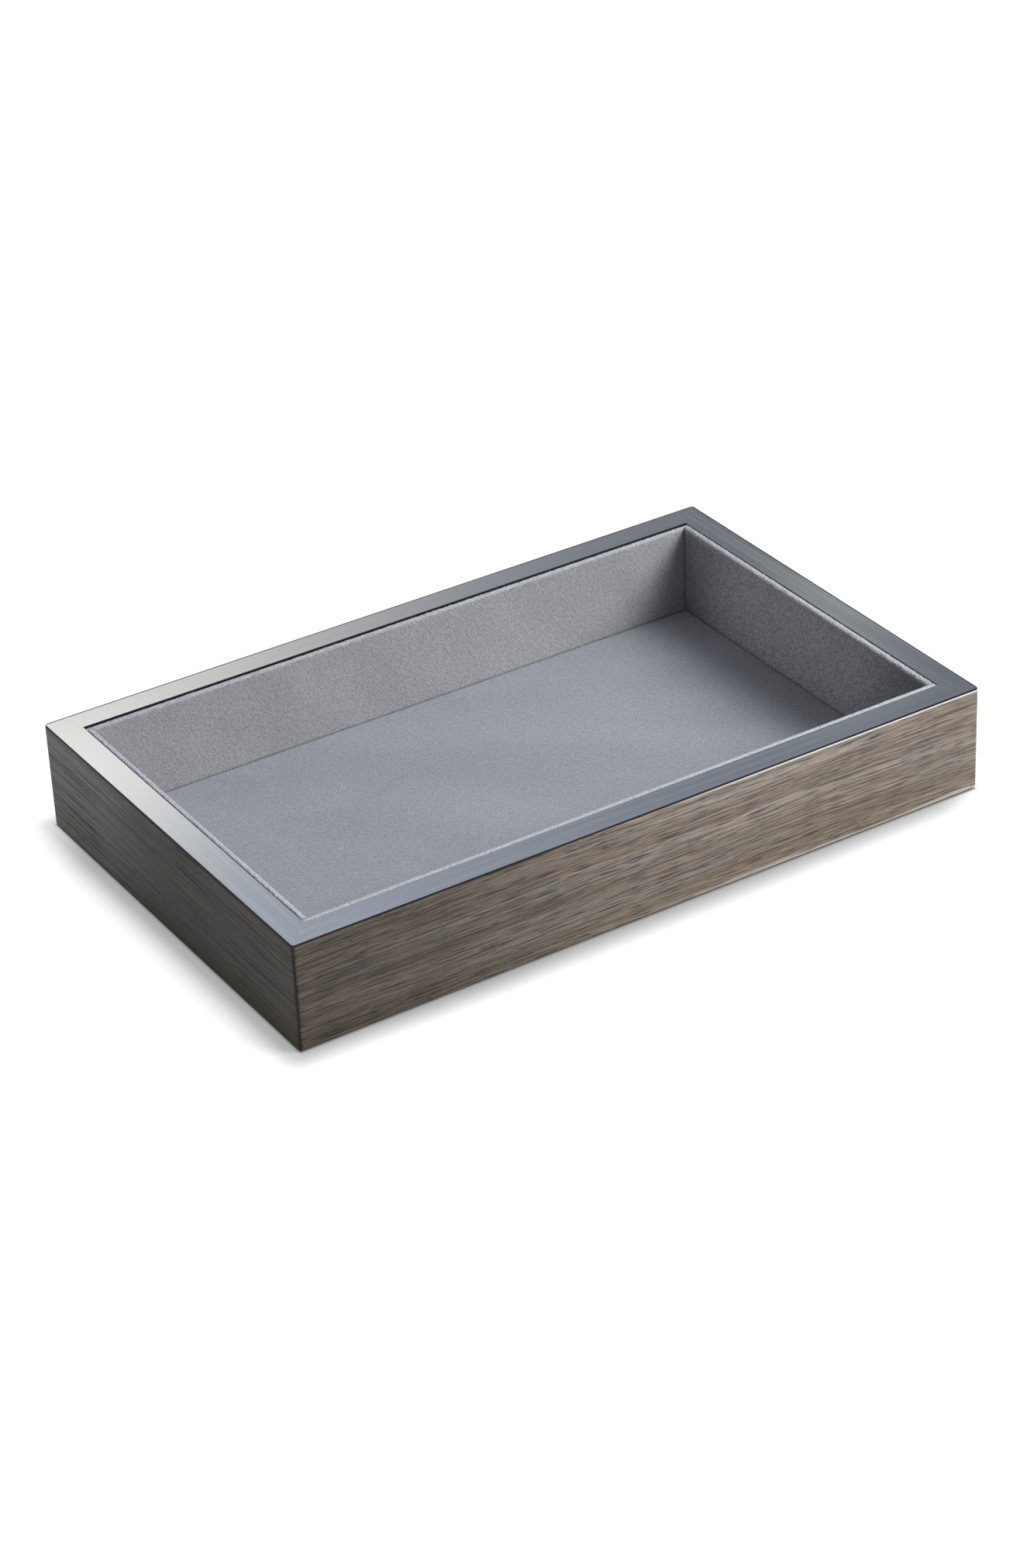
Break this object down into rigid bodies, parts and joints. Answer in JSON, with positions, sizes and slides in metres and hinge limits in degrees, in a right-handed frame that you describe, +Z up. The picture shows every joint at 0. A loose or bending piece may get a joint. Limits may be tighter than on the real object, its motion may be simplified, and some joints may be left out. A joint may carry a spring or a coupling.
{
  "type": "valet tray",
  "caption": "Shallow open rectangular tray with mitred veneered walls, a dark lacquered rim and a well lined with grey suede over card, resting on a felt underside.",
  "frame": {"origin": "middle of the underside, on the surface that the tray stands on", "axes": "+X along the long side, +Y from the front long side to the back one, +Z up"},
  "size_m": [0.24, 0.151, 0.0357],
  "materials": {
    "wall_board": "raw fibreboard",
    "veneer": "satin, grey-brown stain",
    "rim_lacquer": "satin black lacquer",
    "key_wood": "raw plywood",
    "base_board": "raw fibreboard",
    "card": "greyboard",
    "suede": "brushed microsuede",
    "felt": "pressed felt"
  },
  "bodies": {
    "root": {"front_wall": "wall_board", "front_veneer": "veneer", "front_rim": "rim_lacquer", "front_lining_board": "card", "front_lining_suede": "suede", "right_wall": "wall_board", "right_veneer": "veneer", "right_rim": "rim_lacquer", "right_lining_board": "card", "right_lining_suede": "suede", "back_wall": "wall_board", "back_veneer": "veneer", "back_rim": "rim_lacquer", "back_lining_board": "card", "back_lining_suede": "suede", "left_wall": "wall_board", "left_veneer": "veneer", "left_rim": "rim_lacquer", "left_lining_board": "card", "left_lining_suede": "suede", "front_left_key": "key_wood", "front_right_key": "key_wood", "back_left_key": "key_wood", "back_right_key": "key_wood", "floor_lining_board": "card", "floor_lining_suede": "suede", "base_panel": "base_board", "underside_felt": "felt"}
  },
  "joints": []
}
